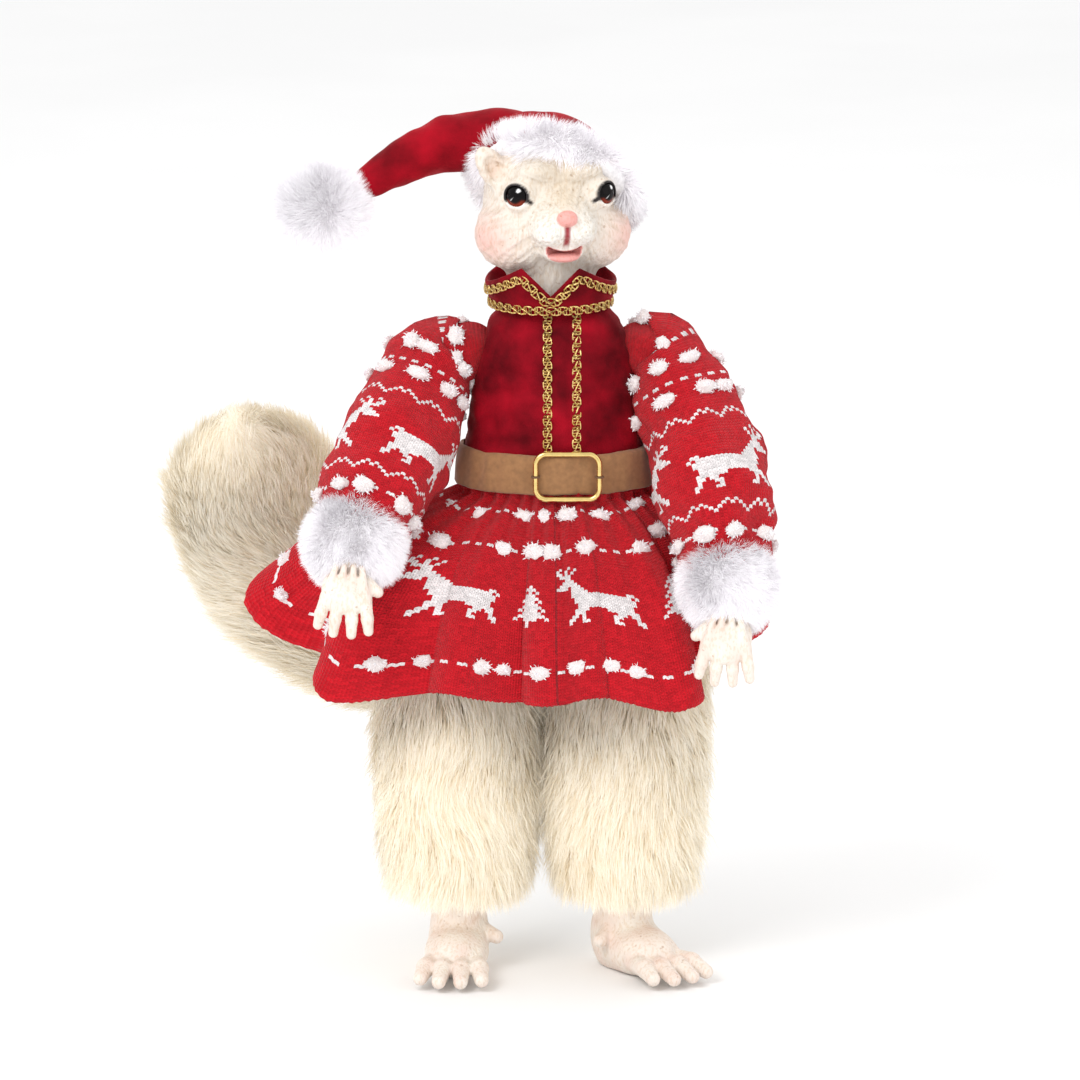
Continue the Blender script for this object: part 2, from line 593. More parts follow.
MATERIALS = {
    "velvet_red": velvet("hat velvet", (0.15, 0.001, 0.005), (0.42, 0.003, 0.014)),
    "velvet_dark": velvet("bodice velvet", (0.085, 0.0, 0.003), (0.33, 0.002, 0.012)),
    "plush_white": pile(
        "white pile", root=(0.88, 0.86, 0.88), middle=(0.94, 0.92, 0.94),
        tip=(0.96, 0.95, 0.97), tint=(0.94, 0.92, 0.94),
    ),
    "plush_cream": pile(
        "cream pile", root=(0.74, 0.60, 0.40), middle=(0.93, 0.84, 0.67),
        tip=(0.99, 0.95, 0.86), tint=(0.90, 0.83, 0.72),
    ),
    "white_ground": backing("white ground", (0.94, 0.92, 0.93)),
    "cream_ground": backing("cream ground", (0.80, 0.68, 0.48)),
    "resin": painted("painted resin", (0.55, 0.42, 0.32), 420.0, (1.0, 1.0, 0.35)),
    "knit": yarn("patterned knit"),
    "braid": metal_thread("gold braid"),
    "gold": plain("buckle gold", (0.90, 0.68, 0.26), 0.16, 260.0, Metallic=1.0),
    "suede": plain("brown suede", (0.34, 0.165, 0.065), 0.9, 420.0, Sheen_Weight=0.3),
    "thread": plain("brown thread", (0.16, 0.08, 0.04), 0.8, 2500.0),
    "stuffing": plain("stuffing", (0.90, 0.89, 0.86), 0.9, 300.0),
    "wire": plain("wire", (0.60, 0.60, 0.60), 0.35, 800.0, Metallic=1.0),
    "chenille": plain("white chenille", (0.90, 0.82, 0.81), 0.9, 1500.0, Sheen_Weight=0.4),
    "eyes": eye_material(),
}


def fur(name, body, slot, roots, normals, comb, length, width, lean, curl, clump, seed, spread=0.16):
    """Flat tapering strands that leave the skin between its normal and the comb and lie over to the comb.

    lean and curl are the shares of comb in the strand's first and last direction; clump draws
    strands to their nearest guide towards the tip.
    """
    draw = np.random.default_rng(seed)
    count = len(roots)
    jitter = draw.normal(0, spread, (2, count, 3))
    lean, curl, length = (np.broadcast_to(np.asarray(v, float), count)[:, None] for v in (lean, curl, length))
    first = unit(normals * (1 - lean) + comb * lean + jitter[0])
    last = unit(normals * (1 - curl) + comb * curl + jitter[1])
    sizes = length * draw.uniform(0.72, 1.12, (count, 1))
    stations = np.array([0.0, 0.35, 0.7, 1.0])
    lines = np.stack([roots + sizes * (first * t + (last - first) * t * t / 2) for t in stations], axis=1)
    guides = draw.choice(count, max(8, count // 26), replace=False)
    tree = KDTree(len(guides))
    for i, point in enumerate(roots[guides]):
        tree.insert(Vector(point), i)
    tree.balance()
    nearest = guides[[tree.find(Vector(point))[1] for point in roots]]
    pull = clump * draw.uniform(0.4, 1.0, (count, 1))
    for i, t in enumerate(stations):
        lines[:, i] += (lines[nearest, i] - lines[:, i]) * pull * t**1.4
    facing = unit(normals + draw.normal(0, 0.35, (count, 3)))
    sideways = unit(np.cross(unit(lines[:, 3] - lines[:, 0]), facing))
    halves = width / 2 * draw.uniform(0.7, 1.3, (count, 1)) * np.array([[1.0, 0.9, 0.6]])
    left = lines[:, :3] - sideways[:, None] * halves[:, :, None]
    right = lines[:, :3] + sideways[:, None] * halves[:, :, None]
    points = np.concatenate([left, right, lines[:, 3:]], axis=1).reshape(-1, 3)
    base = np.arange(count)[:, None] * 7
    quads = np.concatenate([base + [0, 3, 4, 1], base + [1, 4, 5, 2]])
    tips = base + [2, 5, 6]
    tone = np.repeat(draw.random(count), 7)
    along = np.tile([0.0, 0.35, 0.7, 0.0, 0.35, 0.7, 1.0], count)
    strand = np.column_stack([0.01 + 0.98 * tone, 0.01 + 0.98 * along])
    uvs = {"Strand": strand, "OFBake": strand}
    strands = mesh_object(name, points, [quads, tips], MATERIALS[slot], body, uvs=uvs)
    strands.visible_shadow = False
    return strands


def skin(name, grid, material, body, replaces=(), wrap=True):
    """A plain grid surface; fill marks it as a stuffed piece."""
    faces = grid_faces(grid.shape[0], grid.shape[1], wrap)
    obj = mesh_object(name, grid.reshape(-1, 3), faces, material, body, replaces)
    return obj


def leg_grid(side_name, inset, low_z, rows=56, sides=64):
    """The revolved leg, from a domed hip to its hem, closed at both ends."""
    heights = np.array([LEG_HEM_Z, KNEE_Z, HIP_Z])
    bulge = np.polyfit(heights, np.array([LEG_HEM_RADIUS, LEG_KNEE_RADIUS, LEG_TOP_RADIUS]) - inset, 2)
    top = LEG_TOP_RADIUS - inset
    dome = np.linspace(math.pi / 2, 0, 14)[:-1]
    side_z = np.linspace(HIP_Z, low_z, rows)
    z = np.concatenate([HIP_Z + top * np.sin(dome), side_z])
    radius = np.concatenate([top * np.cos(dome), np.polyval(bulge, side_z)])
    z = np.append(z, [low_z - 0.5, low_z])
    radius = np.append(radius, [0.6 * radius[-1], 0.0])
    centres = np.column_stack([np.full(len(z), HIP_XS[side_name]), np.zeros(len(z)), z])
    return rings(centres, np.tile([0.0, 0.0, -1.0], (len(z), 1)), radius, radius, sides)


def add_leg(side_name, seed):
    draw = np.random.default_rng(seed)
    body = f"{side_name}_leg"
    grid = leg_grid(side_name, LEG_PILE, LEG_HEM_Z + 3)
    skin(f"{side_name}_leg_skin", grid, MATERIALS["cream_ground"], body,
         (f"{side_name}_leg_plush", f"{side_name}_leg_stuffing"))
    roots, normals, along = sample_grid(grid[1:-2], LEG_STRANDS, draw)
    swirl = waves(roots, 46.0, seed + 1)[:, None] * np.cross(normals, along) * 0.35
    comb = unit(np.array([0.0, 0.0, -1.0]) + swirl)
    room = np.clip((roots[:, 2] - LEG_HEM_Z + 9) / 24.0, 0.35, 1.0)
    fur(f"{side_name}_leg_fur", body, "plush_cream", roots, normals, comb, LEG_FUR_LENGTH * room,
        width=0.42, lean=0.42, curl=0.93, clump=0.62, seed=seed + 2)


def tail_grid(inset, rows=72, sides=64):
    """The tail's plume along its arc, with a blunt round end."""
    shares = np.linspace(0, 1, rows)
    centres, ahead = arc_through(TAIL_ROOT, TAIL_BEND, TAIL_END, shares)
    width = np.interp(shares, TAIL_ALONG_SHARES, TAIL_WIDTH_SHARES) * TAIL_HALF_WIDTH - inset
    depth = np.interp(shares, TAIL_ALONG_SHARES, TAIL_DEPTH_SHARES) * TAIL_HALF_DEPTH - inset
    cap = np.linspace(0, math.pi / 2, 16)[1:]
    ends = centres[-1] + ahead[-1] * np.sin(cap)[:, None] * (TAIL_CAP - inset)
    centres = np.vstack([centres, ends])
    ahead = np.vstack([ahead, np.repeat(ahead[-1:], len(cap), axis=0)])
    width = np.concatenate([width, width[-1] * np.cos(cap)])
    depth = np.concatenate([depth, depth[-1] * np.cos(cap)])
    return rings(centres, ahead, width, depth, sides)


def add_tail(seed):
    draw = np.random.default_rng(seed)
    grid = tail_grid(TAIL_PILE)
    skin("tail_skin", grid, MATERIALS["cream_ground"], "tail", ("tail_plush",))
    for i, part in enumerate((grid[:56], grid[55:])):
        roots, normals, along = sample_grid(part, TAIL_STRANDS, draw)
        swirl = waves(roots, 60.0, seed + 1)[:, None] * np.cross(normals, along) * 0.3
        comb = unit(along + swirl)
        fur(f"tail_fur_{i + 1}", "tail", "plush_cream", roots, normals, comb, TAIL_FUR_LENGTHS[i],
            width=0.5, lean=0.40, curl=0.88, clump=0.66, seed=seed + 2 + i)


def ball_grid(centre, radii, axis_way, rows=40, sides=56, low=-1.0, high=1.0):
    """Rings of an ellipsoid about an axis; the last radius lies along it."""
    at = np.linspace(low, high, rows)
    angle = np.arcsin(at)
    ahead = np.tile(unit(axis_way), (rows, 1))
    centres = np.asarray(centre) + ahead * (np.sin(angle) * radii[2])[:, None]
    helper = (0.0, 0.0, 1.0) if abs(unit(axis_way)[2]) < 0.9 else (0.0, 1.0, 0.0)
    return rings(centres, ahead, np.cos(angle) * radii[0], np.cos(angle) * radii[1], sides, helper)


def add_short_pile(name, body, grid, count, length, seed, replaces,
                   comb_way=None, lean=0.25, curl=0.45, clear=()):
    """A white puff: a stuffed skin with short fine pile on it, none rooted in the clear balls."""
    draw = np.random.default_rng(seed)
    skin(f"{name}_skin", grid, MATERIALS["white_ground"], body, replaces)
    roots, normals, along = sample_grid(grid, count, draw)
    for centre, radius in clear:
        kept = np.linalg.norm(roots - centre, axis=1) > radius
        roots, normals, along = roots[kept], normals[kept], along[kept]
    lengthways = waves(roots, 21.0, seed + 1)[:, None] * along
    way = unit(lengthways + waves(roots, 21.0, seed + 2)[:, None] * np.cross(normals, along))
    comb = way if comb_way is None else unit(0.6 * way + np.asarray(comb_way))
    fur(f"{name}_fur", body, "plush_white", roots, normals, comb, length,
        width=0.34, lean=lean, curl=curl, clump=0.5, seed=seed + 3, spread=0.22)


def hat_band_grid(inset, rows=90, sides=36):
    """The ring of the hat's brim, tilted back over the brow."""
    turns = np.linspace(0, 2 * math.pi, rows + 1)
    circle = np.column_stack([np.cos(turns), np.sin(turns), np.zeros(rows + 1)]) * HAT_BAND_RADIUS
    ahead = np.column_stack([-np.sin(turns), np.cos(turns), np.zeros(rows + 1)])
    tube_radius = np.full(rows + 1, HAT_BAND_TUBE - inset)
    grid = rings(circle, ahead, tube_radius, tube_radius, sides, (0.0, 0.0, 1.0))
    tilted = turned(turned(grid, HAT_BAND_ROLL, 1), HAT_BAND_TILT, 0)
    return from_head(tilted + HAT_BAND_AT)


def trunk_sizes(heights, grow):
    share = (np.asarray(heights) - TRUNK_BOTTOM_Z) / (TRUNK_TOP_Z - TRUNK_BOTTOM_Z)
    width = np.interp(share, TRUNK_HEIGHT_SHARES, TRUNK_WIDTH_SHARES) * TRUNK_HALF_WIDTH + grow
    depth = np.interp(share, TRUNK_HEIGHT_SHARES, TRUNK_DEPTH_SHARES) * TRUNK_HALF_DEPTH + grow
    return width, depth


def trunk_point(x, height, grow):
    """The point of the trunk's front at an X and a height."""
    width, depth = trunk_sizes(height, grow)
    return np.stack([x, -depth * np.sqrt(np.clip(1 - (x / width) ** 2, 0, 1)), height], axis=-1)


def add_bodice():
    heights = np.linspace(WAIST_Z - BELT_WIDTH / 2, COLLAR_BOTTOM_Z + 1, 70)
    width, depth = trunk_sizes(heights, VELVET_GROW)
    centres = np.column_stack([np.zeros((70, 2)), heights])
    grid = rings(centres, np.tile([0.0, 0.0, -1.0], (70, 1)), width, depth, 160)
    crush = 0.7 * waves(grid, 24.0, 51) + 0.35 * waves(grid, 9.0, 52)
    seam = 0.8 * np.exp(-(((grid[..., 0] - SEAM_X) / 1.1) ** 2)) * (grid[..., 1] < 0)
    outward = unit(grid - centres[:, None])
    crushed = grid + outward * (crush + seam)[..., None]
    skin("bodice_velvet", crushed[::-1], MATERIALS["velvet_dark"], "torso", ("bodice", "torso_core"))


def collar_edge(x):
    """Height of the collar's zigzag edge at a distance from its middle."""
    across = np.abs(x)
    slope = (COLLAR_POINT_Z - COLLAR_SIDE_Z) / (COLLAR_TOP_RADIUS - COLLAR_POINT_X)
    rise = COLLAR_NOTCH_Z + (COLLAR_POINT_Z - COLLAR_NOTCH_Z) * across / COLLAR_POINT_X
    return np.where(across < COLLAR_POINT_X, rise, COLLAR_POINT_Z - slope * (across - COLLAR_POINT_X))


def collar_place(turn, height, grow):
    """A point on the collar's cone at a turn from the front."""
    share = (height - COLLAR_BOTTOM_Z) / (COLLAR_POINT_Z - COLLAR_BOTTOM_Z)
    radius = COLLAR_BOTTOM_RADIUS + (COLLAR_TOP_RADIUS - COLLAR_BOTTOM_RADIUS) * share + grow
    return np.stack([NECK_X + radius * np.sin(turn), -radius * np.cos(turn), height + 0 * turn], axis=-1)


def collar_top(turn, drop=0.0):
    """Height of the collar's edge at a turn, lowered by a drop."""
    height = np.full(np.shape(turn), COLLAR_POINT_Z)
    for _ in range(6):
        place = collar_place(turn, height, COLLAR_THICKNESS)
        height = collar_edge(place[..., 0] - NECK_X) - drop
    return height


def add_collar():
    turns = np.linspace(0, 2 * math.pi, 240, endpoint=False)
    top = collar_top(turns)
    rows = []
    for share in np.linspace(0, 1, 10):
        rows.append(collar_place(turns, COLLAR_BOTTOM_Z + (top - COLLAR_BOTTOM_Z) * share, COLLAR_THICKNESS))
    rows.append(collar_place(turns, top + 0.5, COLLAR_THICKNESS / 2))
    for share in np.linspace(1, 0, 10):
        rows.append(collar_place(turns, COLLAR_BOTTOM_Z + (top - COLLAR_BOTTOM_Z) * share, 0.0))
    grid = np.stack(rows)
    grid[..., :2] += 0.35 * waves(grid, 16.0, 61)[..., None] * unit(grid[..., :2] - [NECK_X, 0])
    skin("collar_velvet", grid, MATERIALS["velvet_dark"], "torso", ("collar",))


def braid_strands(line, outward, closed=False):
    """Two mirrored looping threads along a line, woven over and under each other."""
    steps = np.linalg.norm(np.diff(line, axis=0), axis=1)
    length = np.concatenate([[0], np.cumsum(steps)])
    pitches = max(3, round(length[-1] / BRAID_PITCH))
    at = np.linspace(0, length[-1], pitches * 14, endpoint=not closed)
    phase = 2 * math.pi * at / length[-1] * pitches
    parts = []
    for side in (-1, 1):
        along = at + side * 0.30 * BRAID_PITCH * np.sin(2 * phase)
        centre = np.column_stack([np.interp(along, length, line[:, i]) for i in range(3)])
        up = unit(np.column_stack([np.interp(along, length, outward[:, i]) for i in range(3)]))
        ahead = unit(np.gradient(centre, axis=0))
        across = unit(np.cross(up, ahead))
        offset = side * (BRAID_WIDTH / 2 - BRAID_WIRE) * np.cos(phase)[:, None]
        lift = (BRAID_LIFT + side * 0.45 * np.sin(phase))[:, None]
        parts.append(tube(centre + across * offset + up * lift, BRAID_WIRE, 6, closed))
    return joined(parts)


def add_braids():
    turns = np.linspace(0, 2 * math.pi, 400)
    heights = {
        "neck_braid": np.full(400, COLLAR_BOTTOM_Z + BRAID_WIDTH / 2),
        "collar_braid": np.maximum(collar_top(turns, BRAID_WIDTH), COLLAR_BOTTOM_Z + 1.45 * BRAID_WIDTH),
    }
    for name, height in heights.items():
        line = collar_place(turns, height, COLLAR_THICKNESS)
        outward = unit(line - np.column_stack([np.full(400, NECK_X), np.zeros(400), line[:, 2]]))
        points, faces = braid_strands(line, outward, True)
        mesh_object(f"{name}_loops", points, faces, MATERIALS["braid"], "torso", (name,))
    heights = np.linspace(WAIST_Z + BELT_WIDTH / 2, COLLAR_BOTTOM_Z, 60)
    for (name, _), x in zip(SIDES, FRONT_BRAID_XS):
        line = trunk_point(np.full(60, x), heights, VELVET_GROW)
        outward = unit(line * [1, 1, 0] + [0, -20, 0])
        points, faces = braid_strands(line, outward)
        braid = f"{name}_front_braid"
        mesh_object(f"{braid}_loops", points, faces, MATERIALS["braid"], "torso", (braid,))


def add_belt():
    """A suede band with softly rounded, slightly wavy edges."""
    turns = np.linspace(0, 2 * math.pi, 200, endpoint=False)
    rows = []
    for out, up in BELT_PROFILE_SHARES:
        height = WAIST_Z + up * BELT_WIDTH + 0.4 * np.sin(9 * turns) * abs(up)
        width, depth = trunk_sizes(height, BELT_GROW - BELT_THICKNESS + out * BELT_THICKNESS)
        rows.append(np.stack([width * np.sin(turns), -depth * np.cos(turns), height], axis=-1))
    grid = np.stack(rows)
    creases = 0.6 * waves(grid * [0.35, 0.35, 1.6], 9.0, 71) + 0.35 * waves(grid, 8.0, 72)
    grid[..., :2] += creases[..., None] * unit(grid[..., :2])
    skin("belt_suede", grid, MATERIALS["suede"], "torso", ("belt",))


def fold_share(turn):
    """Share of the flare that the skirt's folds leave at a turn, from valley to crest and back."""
    starts = np.array(FOLD_TURN_SHARES)
    ends = np.append(starts[1:], starts[0] + 1)
    wrapped = (turn - starts[0]) % 1 + starts[0]
    index = np.searchsorted(starts, wrapped, side="right") - 1
    local = (wrapped - starts[index]) / (ends[index] - starts[index])
    valley = np.array(FOLD_VALLEY_SHARES)
    after = np.roll(valley, -1)[index]
    base = valley[index] + (after - valley[index]) * local
    return base + (np.array(FOLD_CREST_SHARES)[index] - (valley[index] + after) / 2) * np.sin(math.pi * local)


def skirt_profile(turn, drop):
    """Points of the skirt's bell at a turn and a share of the way down from the flare to the lowest hem."""
    width, depth = trunk_sizes(WAIST_Z, VELVET_GROW)
    spread = np.interp(np.clip(drop, 0, 1), FLARE_DROP_SHARES, FLARE_SPREAD_SHARES)
    ahead, across = np.cos(2 * math.pi * turn), np.sin(2 * math.pi * turn)
    half_width = width + (np.where(across > 0, SKIRT_LEFT, SKIRT_RIGHT) - width) * spread
    reach = np.where(ahead > 0, SKIRT_FRONT, SKIRT_BACK)
    deep = depth + (reach - depth) * spread
    radius = 1 / np.hypot(across / half_width, ahead / deep) * (1 - spread * (1 - fold_share(turn)))
    height = SKIRT_FLARE_Z + (SKIRT_HEM_Z - SKIRT_FLARE_Z) * drop
    return np.stack(np.broadcast_arrays(radius * across, -radius * ahead, height), axis=-1)


def skirt_grid(turns, shares):
    """Points of the knit at turns round it and shares of its length from the waist to the hem."""
    drops = np.linspace(-0.13, 1.0, 240)
    columns = skirt_profile(turns[None, :], drops[:, None])
    hem = np.interp(columns[..., 1], HEM_LINE_Y, HEM_LINE_Z)
    hem = hem + HEM_WAVE_HEIGHT * np.sin(2 * math.pi * HEM_WAVES * turns)
    steps = np.linalg.norm(np.diff(columns, axis=0), axis=2)
    length = np.vstack([np.zeros(len(turns)), np.cumsum(steps, axis=0)])
    grid = np.empty((len(shares), len(turns), 3))
    for i in range(len(turns)):
        last = np.argmax(columns[:, i, 2] <= hem[:, i])
        for axis in range(3):
            grid[:, i, axis] = np.interp(shares * length[last, i], length[:, i], columns[:, i, axis])
    return grid


def chart_rows(columns, rows, bands):
    """Stitch chart of a knit: bands are (first row, pattern tiles, gap between tiles)."""
    chart = np.zeros((rows, columns), bool)
    for first, tiles, gap in bands:
        cells = [np.array([[c == "#" for c in line] for line in tile]) for tile in tiles]
        height = max(len(cell) for cell in cells)
        blocks = []
        for cell in cells:
            room = np.zeros((height, cell.shape[1] + gap), bool)
            room[height - len(cell):, : cell.shape[1]] = cell
            blocks.append(room)
        tile = np.hstack(blocks)
        repeats = max(1, round(columns / tile.shape[1]))
        across = (np.arange(columns) * repeats * tile.shape[1] // columns) % tile.shape[1]
        chart[first : first + height] |= tile[:, across][: rows - first]
    return chart


RED_YARN = np.array([0.64, 0.010, 0.020])
WHITE_YARN = np.array([1.0, 0.94, 0.94])


def knit_colours(chart, seed):
    draw = np.random.default_rng(seed)
    colours = np.where(chart[..., None], WHITE_YARN, RED_YARN)
    return colours * draw.uniform(0.82, 1.08, (*chart.shape, 1))


def stitch_offsets(columns):
    """Half a row up on every other half stitch, which makes the rows of V-shaped stitches."""
    return 0.5 * (np.arange(2 * columns) % 2)


def add_knit(name, body, grid, chart, replaces, seed):
    """A knit surface from a grid with two columns to a stitch and one row of points to a row of stitches."""
    rows, columns = grid.shape[:2]
    colours = np.repeat(knit_colours(chart, seed), 2, axis=1).reshape(-1, 3)
    row, column = np.meshgrid(np.arange(rows), np.arange(columns), indexing="ij")
    faces = grid_faces(rows, columns)
    stitch = np.column_stack([column.ravel(), row.ravel()]).astype(float)
    return mesh_object(name, grid.reshape(-1, 3), faces, MATERIALS["knit"], body, replaces,
                       colours=colours, per_face=True, uvs={"Stitch": stitch})


def bobble(centre, outward, along, draw):
    """A lumpy chenille bobble lying along the knit's row: its grid of points."""
    turns = np.linspace(0, 2 * math.pi, 14, endpoint=False)
    tilt = np.linspace(-math.pi / 2, math.pi / 2, 9)
    sides = [np.outer(np.cos(tilt), np.cos(turns)), np.outer(np.cos(tilt), np.sin(turns))]
    lump = np.stack([*sides, np.outer(np.sin(tilt), np.ones(14))], axis=-1)
    bumps = 1 + 0.16 * waves(lump * 3.0, 2.6, int(draw.integers(1 << 30)))[..., None]
    size = np.array(BOBBLE_SIZE) * draw.uniform(0.8, 1.2, 3)
    second = unit(np.cross(outward, along))
    lump = lump * bumps * size
    return centre + lump[..., :1] * along + lump[..., 1:2] * second + lump[..., 2:] * outward


def add_bobbles(name, body, grid, places, seed, top_z=math.inf):
    """Bobbles with short pile, on a knit at (row share, number round it, shift) places below a height."""
    draw = np.random.default_rng(seed)
    normals = grid_normals(grid)
    rows, columns = grid.shape[:2]
    parts, roots, ways = [], [], []
    for row_share, number, shift in places:
        row = int(row_share * (rows - 1))
        for i in range(number):
            stray = draw.uniform(-BOBBLE_STRAY, BOBBLE_STRAY)
            column = int(columns * ((i + shift + stray) / number)) % columns
            along = unit(grid[row, (column + 3) % columns] - grid[row, column - 3])
            out = normals[row, column]
            centre = grid[row, column] + 0.7 * out
            lump = bobble(centre, out, along, draw)
            if centre[2] > top_z:
                continue
            parts.append((lump.reshape(-1, 3), grid_faces(9, 14)))
            chosen = lump.reshape(-1, 3)[draw.integers(0, 9 * 14, BOBBLE_STRANDS)]
            roots.append(chosen)
            ways.append(unit(chosen - centre + 0.3 * out))
    points, faces = joined(parts)
    mesh_object(name, points, faces, MATERIALS["chenille"], body)
    roots, ways = np.vstack(roots), np.vstack(ways)
    comb = unit(draw.normal(size=roots.shape))
    fur(f"{name}_pile", body, "plush_white", roots, ways, comb, BOBBLE_PILE,
        width=0.45, lean=0.3, curl=0.5, clump=0.2, seed=seed + 1, spread=0.3)


def add_skirt():
    columns = 2 * SKIRT_STITCHES
    turns = np.arange(columns) / columns
    lifts = stitch_offsets(SKIRT_STITCHES)
    shares = np.linspace(0, 1, 240)
    smooth = skirt_grid(turns, shares)
    row = np.arange(SKIRT_ROWS + 1)[:, None]
    rows = row - 0.5 * lifts[None, :] * (row > 0)
    at = np.clip(rows / SKIRT_ROWS, 0, 1) * 239
    low = np.minimum(at.astype(int), 238)
    part = (at - low)[..., None]
    column = np.arange(columns)[None, :]
    grid = smooth[low, column] * (1 - part) + smooth[low + 1, column] * part
    normals = grid_normals(grid)
    share = row / SKIRT_ROWS
    gathers = GATHER_DEPTH * np.sin(2 * math.pi * GATHERS * turns)[None, :]
    gathers = gathers * np.exp(-share / GATHER_REACH_SHARE) * np.clip(share * 12, 0, 1)
    sways = SWAY_DEPTH * np.sin(2 * math.pi * SWAYS * turns + 0.8)[None, :] * share
    ripple = 2.4 * waves(grid * [1.0, 1.0, 0.3], 40.0, 81) * share
    grid = grid + normals * (gathers + sways + ripple)[..., None]
    ahead = unit(grid[-1] - grid[-2])
    for step in range(1, 7):
        angle = step * math.radians(50)
        roll = ahead * math.sin(angle) + normals[-1] * (1 - math.cos(angle))
        grid = np.concatenate([grid, (grid[SKIRT_ROWS] + roll * HEM_ROLL_RADIUS)[None]])
    chart = chart_rows(SKIRT_STITCHES, len(grid) - 1, SKIRT_BANDS)
    skirt = add_knit("skirt_knit", "torso", grid, chart, ("skirt",), 82)
    around = np.linalg.norm(np.diff(grid[SKIRT_ROWS], axis=0), axis=1).sum() * MM
    down = np.linalg.norm(np.diff(grid[:, 0], axis=0), axis=1).sum() * MM
    add_bobbles("skirt_bobbles", "torso", grid[: SKIRT_ROWS + 1], SKIRT_BOBBLES, 83, BOBBLE_TOP_Z)


def sleeve_line(side_name, side, count):
    """Centres, directions and radii of a sleeve, from its head on the bodice's shoulder to the wrist."""
    knots = (SHOULDERS[side_name], SLEEVE_BENDS[side_name], WRISTS[side_name])
    arm, _ = arc_through(*knots, SLEEVE_ALONG_SHARES)
    head = np.array(SLEEVE_HEAD) * [side, 1, 1]
    knots = np.column_stack([np.vstack([head, arm]), np.concatenate([SLEEVE_HEAD_RADII, SLEEVE_RADII])])
    line, ahead = smooth_line(knots, count)
    return line[:, :3], ahead, np.maximum(line[:, 3], 0.0)


def add_sleeve(side_name, side, seed):
    columns = 2 * SLEEVE_STITCHES
    centres, ahead, radii = sleeve_line(side_name, side, SLEEVE_ROWS + 1)
    smooth = rings(centres, ahead, radii, radii, columns, (0.0, -1.0, 0.0))
    grid = smooth.copy()
    grid[1:] += (smooth[:-1] - smooth[1:]) * (0.5 * stitch_offsets(SLEEVE_STITCHES))[None, :, None]
    outward = unit(grid - centres[:, None])
    puckers = 1.5 * waves(grid, 34.0, seed) + 0.6 * waves(grid * [1, 1, 2.2], 20.0, seed + 1)
    fade = np.clip((np.arange(SLEEVE_ROWS + 1) - 12) / 20, 0, 1)[:, None]
    grid = grid + outward * (puckers * fade)[..., None]
    chart = chart_rows(SLEEVE_STITCHES, SLEEVE_ROWS, SLEEVE_BANDS)
    sleeve = add_knit(f"{side_name}_sleeve_knit", f"{side_name}_arm", grid, chart,
                      (f"{side_name}_sleeve", f"{side_name}_arm_padding"), seed + 2)
    add_bobbles(f"{side_name}_sleeve_bobbles", f"{side_name}_arm", grid, SLEEVE_BOBBLES, seed + 3)


def ball(points, centre, radii):
    """Distance-like field of an ellipsoid."""
    offset = points - np.asarray(centre, float)
    scaled = np.linalg.norm(offset / radii, axis=1)
    steep = np.linalg.norm(offset / np.square(radii), axis=1)
    return scaled * (scaled - 1) / np.maximum(steep, 1e-9)


def rod(points, start, end, first_radius, last_radius):
    """Distance to a tapered bar with round ends."""
    start, along = np.asarray(start, float), np.asarray(end, float) - np.asarray(start, float)
    share = np.clip((points - start) @ along / (along @ along), 0, 1)
    gap = np.linalg.norm(points - start - share[:, None] * along, axis=1)
    return gap - first_radius - (last_radius - first_radius) * share


def melt(first, second, size):
    """Union of two fields with a rounded join."""
    share = np.clip(0.5 + 0.5 * (second - first) / size, 0, 1)
    return second + (first - second) * share - size * share * (1 - share)


def carve(first, second, size):
    """The first field without the second, with a rounded rim."""
    return -melt(-first, second, size)


def surface_net(field, low, high, step):
    """Points and quads of a field's zero surface on a regular grid."""
    axes = [np.arange(a, b + step, step) for a, b in zip(low, high)]
    shape = tuple(len(axis) for axis in axes)
    points = np.stack(np.meshgrid(*axes, indexing="ij"), axis=-1).reshape(-1, 3)
    blocks = np.array_split(points, 1 + len(points) // 200000)
    value = np.concatenate([field(block) for block in blocks]).reshape(shape)
    inside = value < 0
    total = np.zeros((*[n - 1 for n in shape], 3))
    hits = np.zeros([n - 1 for n in shape])
    quads = []
    for axis in range(3):
        near = tuple(slice(0, -1) if i == axis else slice(None) for i in range(3))
        far = tuple(slice(1, None) if i == axis else slice(None) for i in range(3))
        crossing = np.argwhere(inside[near] != inside[far])
        others = [i for i in range(3) if i != axis]
        limits = np.array(shape)[others] - 1
        crossing = crossing[((crossing[:, others] > 0) & (crossing[:, others] < limits)).all(axis=1)]
        first = value[near][tuple(crossing.T)]
        second = value[far][tuple(crossing.T)]
        place = crossing.astype(float)
        place[:, axis] += first / (first - second)
        cells = []
        for shift in ((-1, -1), (0, -1), (0, 0), (-1, 0)):
            cell = crossing.copy()
            cell[:, others] += shift
            np.add.at(total, tuple(cell.T), place)
            np.add.at(hits, tuple(cell.T), 1)
            cells.append(np.ravel_multi_index(tuple(cell.T), hits.shape))
        quad = np.stack(cells, axis=1)
        flip = (first < 0) == (axis == 1)
        quad[flip] = quad[flip][:, ::-1]
        quads.append(quad)
    used = np.flatnonzero(hits.ravel())
    index = np.full(hits.size, -1)
    index[used] = np.arange(len(used))
    first_corner = np.array([axis[0] for axis in axes])
    points = total.reshape(-1, 3)[used] / hits.ravel()[used, None] * step + first_corner
    for _ in range(2):
        level, slope = field(points), field_slope(field, points)
        points = points - slope * (level / np.maximum((slope**2).sum(axis=1), 1e-6))[:, None]
    return points, index[np.vstack(quads)]


def field_slope(field, points, reach=0.05):
    """Gradient of a field at points."""
    steps = np.eye(3) * reach
    return np.stack([(field(points + d) - field(points - d)) / (2 * reach) for d in steps], axis=1)


